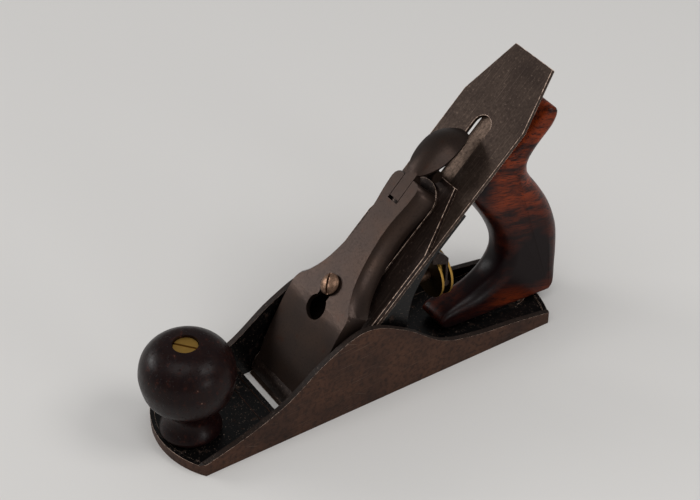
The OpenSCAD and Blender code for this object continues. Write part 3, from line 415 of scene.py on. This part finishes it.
def apply_modifier(piece, kind, **settings):
    """Adds one modifier and applies it."""
    only(piece)
    made = piece.modifiers.new(kind.lower(), kind)
    for name, value in settings.items():
        setattr(made, name, value)
    bpy.ops.object.modifier_apply(modifier=made.name)


def wear_edges(piece, width, segments=2, finish_index=-1):
    """Rounds the piece's edges, in one of its own finishes if an index is given."""
    apply_modifier(
        piece,
        "BEVEL",
        width=width,
        segments=segments,
        limit_method="ANGLE",
        angle_limit=WORN_TURN,
        use_clamp_overlap=True,
        material=finish_index,
    )


def finish_piece(piece, node):
    """Shades the piece, puts it on the body of the node it stands for, and hides that node."""
    only(piece)
    bpy.ops.object.shade_smooth_by_angle(angle=SHARP_TURN)
    apply_modifier(piece, "WEIGHTED_NORMAL", keep_sharp=True, weight=100)
    body = frame["nodes"][node]["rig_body"]
    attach(piece, body)
    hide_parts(node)
    return piece


def dressed(node, finish, edge, edge_finish=None, segments=2):
    """A hard piece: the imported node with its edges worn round, in its own finish on the rounds if one is given."""
    piece = merged_copy(node)
    piece.data.materials.append(finish)
    if edge_finish:
        piece.data.materials.append(edge_finish)
    wear_edges(piece, edge, segments, 1 if edge_finish else -1)
    return finish_piece(piece, node)


def paint_faces(piece, finish, chosen):
    """Gives the faces that chosen(face) picks another finish."""
    piece.data.materials.append(finish)
    index = len(piece.data.materials) - 1
    for face in piece.data.polygons:
        if chosen(face):
            face.material_index = index


class PLANE_OT_stage(bpy.types.Operator):
    """Add the camera, the pale floor and the soft studio light"""

    bl_idname = "plane.stage"
    bl_label = "Stage"

    def execute(self, context):
        bpy.ops.object.select_all(action="DESELECT")
        camera_data = bpy.data.cameras.new("camera")
        camera_data.sensor_width = SENSOR_WIDTH
        camera_data.sensor_fit = "HORIZONTAL"
        camera_data.lens = CAMERA_LENS
        camera_data.clip_start, camera_data.clip_end = CAMERA_REACH
        camera = bpy.data.objects.new("camera", camera_data)
        context.scene.collection.objects.link(camera)
        back = CAMERA_RIGHT.cross(CAMERA_UP)
        turn = Matrix((CAMERA_RIGHT, CAMERA_UP, back)).transposed().to_4x4()
        camera.matrix_world = Matrix.Translation(CAMERA_PLACE) @ turn
        context.scene.camera = camera
        context.scene.view_settings.view_transform = "Standard"

        bpy.ops.mesh.primitive_plane_add(size=FLOOR_SIZE, location=(0, 0, 0))
        floor = context.object
        floor.name = "floor"
        floor_paint, tree = new_material("pale_floor")[:2]
        pale = context.scene.plane_colours.floor
        close_material(tree, {"Base Color": pale, "Roughness": 0.9, "Specular IOR Level": 0.2})
        floor.data.materials.append(floor_paint)

        world = bpy.data.worlds.new("studio")
        context.scene.world = world
        world.use_nodes = True
        sky = world.node_tree
        sky.nodes.clear()
        path = add(sky, "ShaderNodeLightPath").outputs
        seen = add(sky, "ShaderNodeMath", (path["Is Camera Ray"], path["Is Glossy Ray"]), operation="MAXIMUM")
        light = add(sky, "ShaderNodeBackground", SKY_LIGHT)
        shown = add(sky, "ShaderNodeBackground", SKY_SHOWN)
        both = add(sky, "ShaderNodeMixShader", (seen, light, shown))
        add(sky, "ShaderNodeOutputWorld", {"Surface": both})

        for name, place, wide, high, power in SOFT_BOXES:
            lamp = bpy.data.lights.new(name, "AREA")
            lamp.shape = "RECTANGLE"
            lamp.size = wide
            lamp.size_y = high
            lamp.energy = power
            lamp_object = bpy.data.objects.new(name, lamp)
            context.scene.collection.objects.link(lamp_object)
            lamp_object.location = place
            lamp_object.rotation_euler = (LAMP_AIM - Vector(place)).to_track_quat("-Z", "Y").to_euler()
        return {"FINISHED"}


class PLANE_OT_body_casting(bpy.types.Operator):
    """Add the body casting: brown outside, japanned inside, bright on its worn edges"""

    bl_idname = "plane.body_casting"
    bl_label = "Body casting"

    def execute(self, context):
        finish = finishes(context)
        sizes = context.scene.plane_sizes
        piece = merged_copy("body_casting")
        for name in ("japan", "edge", "iron", "grime"):
            piece.data.materials.append(finish[name])
        japan, edge, iron, grime = range(4)
        wear_edges(piece, sizes.casting_edge, finish_index=edge)
        low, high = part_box("body_casting")
        skin = 0.2 * MM
        rim_top, rim_width = 5.0 * MM, 2.4 * MM
        end_depth, rim_depth = 12 * MM, 14 * MM
        inner_cheek = high.y - 3.2 * MM
        mouth_front, mouth_rear = low.x + 42.5 * MM, low.x + 74.5 * MM
        # The share of a face's normal that lies along an axis it faces, faces squarely, or stands along
        facing, squarely, across = 0.7, 0.9, 0.3
        for face in piece.data.polygons:
            centre, normal = face.center, face.normal
            side = abs(centre.y)
            from_end = min(centre.x - low.x, high.x - centre.x)
            worn = face.material_index == edge
            outside = side > high.y - skin and abs(normal.y) > facing
            below = centre.z < skin and normal.z < -facing
            end_wall = from_end < end_depth and abs(normal.z) < across and normal.x * centre.x > 0
            outer_end = end_wall and not worn and centre.z < rim_top + rim_width
            on_lip = worn and side < inner_cheek and mouth_front < centre.x < mouth_rear
            on_cheek = inner_cheek < side < high.y - sizes.casting_edge and centre.z > rim_top
            if outside or below or outer_end or on_lip:
                face.material_index = iron
            elif on_cheek and abs(normal.y) < squarely:
                face.material_index = grime
            elif worn and side < inner_cheek and from_end >= rim_depth:
                face.material_index = japan
        finish_piece(piece, "body_casting")
        return {"FINISHED"}


class PLANE_OT_frog(bpy.types.Operator):
    """Add the japanned frog with its two screws and washers"""

    bl_idname = "plane.frog"
    bl_label = "Frog"

    def execute(self, context):
        finish = finishes(context)
        sizes = context.scene.plane_sizes
        dressed("frog", finish["japan"], sizes.casting_edge)
        for node in ("frog_screws", "frog_washers"):
            dressed(node, finish["screw"], sizes.small_edge)
        return {"FINISHED"}


class PLANE_OT_depth_adjuster(bpy.types.Operator):
    """Add the depth adjuster: stud, brass nut, forked lever and its pin"""

    bl_idname = "plane.depth_adjuster"
    bl_label = "Depth adjuster"

    def execute(self, context):
        finish = finishes(context)
        sizes = context.scene.plane_sizes
        dressed("adjusting_stud", finish["screw"], sizes.small_edge)
        nut = dressed("adjusting_nut", finish["brass"], sizes.brass_edge)
        paint_faces(nut, finish["tarnished"], lambda face: abs(face.normal.x) > END_FACING)
        dressed("forked_lever", finish["cap_steel"], sizes.small_edge)
        dressed("fork_pin", finish["screw"], sizes.small_edge)
        return {"FINISHED"}


class PLANE_OT_lateral_lever(bpy.types.Operator):
    """Add the lateral lever with its disc and rivet"""

    bl_idname = "plane.lateral_lever"
    bl_label = "Lateral lever"

    def execute(self, context):
        finish = finishes(context)
        sizes = context.scene.plane_sizes
        for node in ("lateral_lever", "lateral_disc", "lateral_rivet"):
            dressed(node, finish["strip"], sizes.small_edge)
        return {"FINISHED"}


class PLANE_OT_irons(bpy.types.Operator):
    """Add the cutting iron, the cap iron and its screw"""

    bl_idname = "plane.irons"
    bl_label = "Irons"

    def execute(self, context):
        finish = finishes(context)
        sizes = context.scene.plane_sizes
        dressed("cutting_iron", finish["steel"], sizes.steel_edge, finish["edge"])
        dressed("cap_iron", finish["cap_steel"], sizes.steel_edge, finish["edge"])
        dressed("cap_iron_screw", finish["screw"], sizes.small_edge)
        return {"FINISHED"}


class PLANE_OT_lever_cap(bpy.types.Operator):
    """Add the lever cap with its spring, pins and screw"""

    bl_idname = "plane.lever_cap"
    bl_label = "Lever cap"

    def execute(self, context):
        finish = finishes(context)
        sizes = context.scene.plane_sizes
        dressed("lever_cap", finish["lever"], sizes.cap_edge, segments=3)
        dressed("cap_spring", finish["cap_steel"], sizes.small_edge, finish["edge"])
        dressed("spring_rivet", finish["screw"], sizes.small_edge)
        dressed("cam_pin", finish["screw"], sizes.small_edge)
        dressed("lever_cap_screw", finish["screw"], sizes.small_edge)
        return {"FINISHED"}


class PLANE_OT_cam_lever(bpy.types.Operator):
    """Add the cam lever with its thumb leaf"""

    bl_idname = "plane.cam_lever"
    bl_label = "Cam lever"

    def execute(self, context):
        finish = finishes(context)
        sizes = context.scene.plane_sizes
        dressed("cam_lever", finish["lever"], sizes.leaf_edge, segments=3)
        return {"FINISHED"}


class PLANE_OT_knob(bpy.types.Operator):
    """Add the front knob with its bolt and brass nut"""

    bl_idname = "plane.knob"
    bl_label = "Front knob"

    def execute(self, context):
        finish = finishes(context)
        sizes = context.scene.plane_sizes
        dressed("front_knob", finish["knob"], sizes.wood_edge)
        dressed("knob_bolt", finish["screw"], sizes.small_edge)
        dressed("knob_nut", finish["brass"], sizes.brass_edge)
        return {"FINISHED"}


class PLANE_OT_tote(bpy.types.Operator):
    """Add the rosewood tote with its bolt and brass nut"""

    bl_idname = "plane.tote"
    bl_label = "Rear tote"

    def execute(self, context):
        finish = finishes(context)
        sizes = context.scene.plane_sizes
        dressed("rear_tote", finish["tote"], sizes.wood_edge, segments=3)
        dressed("tote_bolt", finish["screw"], sizes.small_edge)
        dressed("tote_nut", finish["brass"], sizes.brass_edge)
        return {"FINISHED"}


OPERATORS = (
    PLANE_OT_stage,
    PLANE_OT_body_casting,
    PLANE_OT_frog,
    PLANE_OT_depth_adjuster,
    PLANE_OT_lateral_lever,
    PLANE_OT_irons,
    PLANE_OT_lever_cap,
    PLANE_OT_cam_lever,
    PLANE_OT_knob,
    PLANE_OT_tote,
)


class PLANE_PT_panel(bpy.types.Panel):
    """Lists the plane's pieces in the sidebar"""

    bl_label = "Smoothing plane"
    bl_idname = "PLANE_PT_panel"
    bl_space_type = "VIEW_3D"
    bl_region_type = "UI"
    bl_category = "Plane"

    def draw(self, context):
        column = self.layout.column()
        for operator in OPERATORS:
            column.operator(operator.bl_idname)
        for group in (context.scene.plane_sizes, context.scene.plane_colours):
            for name in group.bl_rna.properties.keys():
                if name not in ("rna_type", "name"):
                    column.prop(group, name)


CLASSES = (PlaneSizes, PlaneColours) + OPERATORS + (PLANE_PT_panel,)


def register():
    for item in CLASSES:
        bpy.utils.register_class(item)
    bpy.types.Scene.plane_sizes = PointerProperty(type=PlaneSizes)
    bpy.types.Scene.plane_colours = PointerProperty(type=PlaneColours)


def unregister():
    del bpy.types.Scene.plane_colours
    del bpy.types.Scene.plane_sizes
    for item in reversed(CLASSES):
        bpy.utils.unregister_class(item)


def main():
    register()
    bpy.ops.plane.stage()
    bpy.ops.plane.body_casting()
    bpy.ops.plane.frog()
    bpy.ops.plane.depth_adjuster()
    bpy.ops.plane.lateral_lever()
    bpy.ops.plane.irons()
    bpy.ops.plane.lever_cap()
    bpy.ops.plane.cam_lever()
    bpy.ops.plane.knob()
    bpy.ops.plane.tote()


if __name__ == "__main__":
    main()
